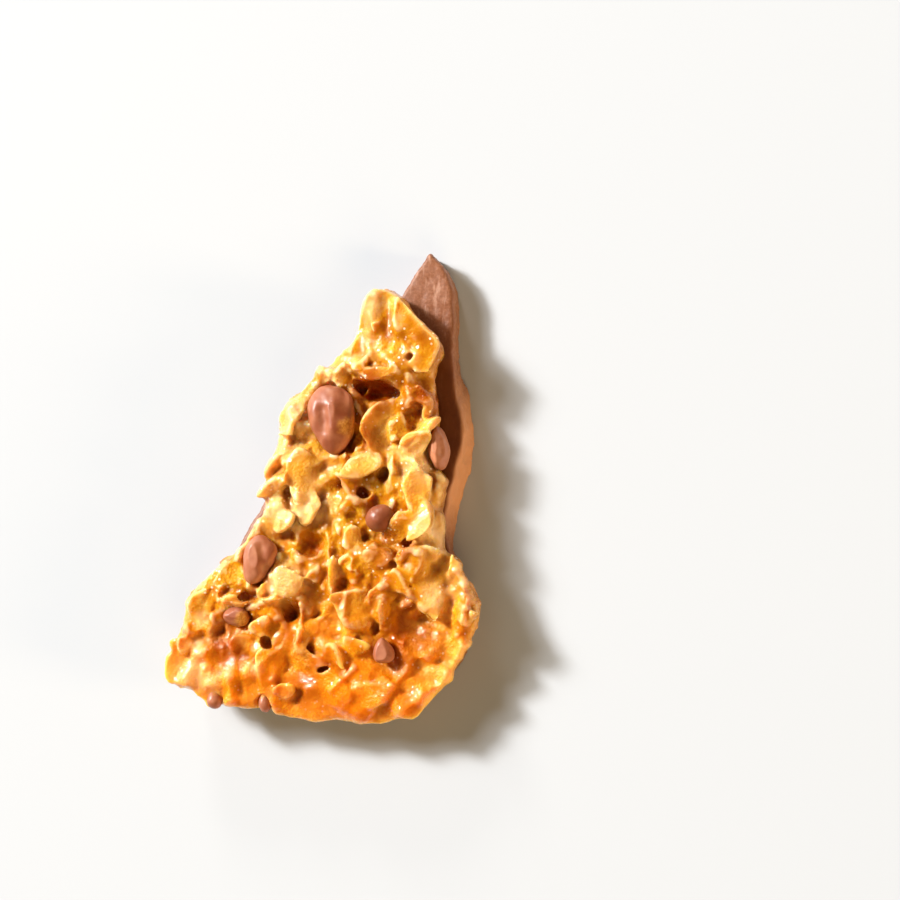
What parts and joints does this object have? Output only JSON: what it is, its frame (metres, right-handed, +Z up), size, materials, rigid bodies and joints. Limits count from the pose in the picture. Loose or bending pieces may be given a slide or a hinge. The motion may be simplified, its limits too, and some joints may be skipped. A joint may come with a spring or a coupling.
{
  "type": "almond florentine chocolate shard",
  "caption": "Broken shard of almond florentine on a milk chocolate plate: sliced almonds set in glossy caramel, with chocolate drops.",
  "frame": {"origin": "on the surface the shard lies on, under the middle of its bounding box", "axes": "+Z up out of the almond face, +Y from the broad end to the pointed end, +X to the right when seen from above with the pointed end up"},
  "size_m": [0.0502, 0.0738, 0.0121],
  "materials": {
    "milk_chocolate": "satin tempered milk chocolate, rough where broken",
    "almond_caramel": "glossy amber caramel over sliced almonds",
    "chocolate_drop": "smooth satin milk chocolate"
  },
  "bodies": {
    "root": {"chocolate_plate": "milk_chocolate", "florentine": "almond_caramel", "chocolate_drop_1": "chocolate_drop", "chocolate_drop_2": "chocolate_drop", "chocolate_drop_3": "chocolate_drop", "chocolate_drop_4": "chocolate_drop", "chocolate_drop_5": "chocolate_drop", "chocolate_drop_6": "chocolate_drop", "chocolate_drop_7": "chocolate_drop", "chocolate_drop_8": "chocolate_drop"}
  },
  "joints": []
}
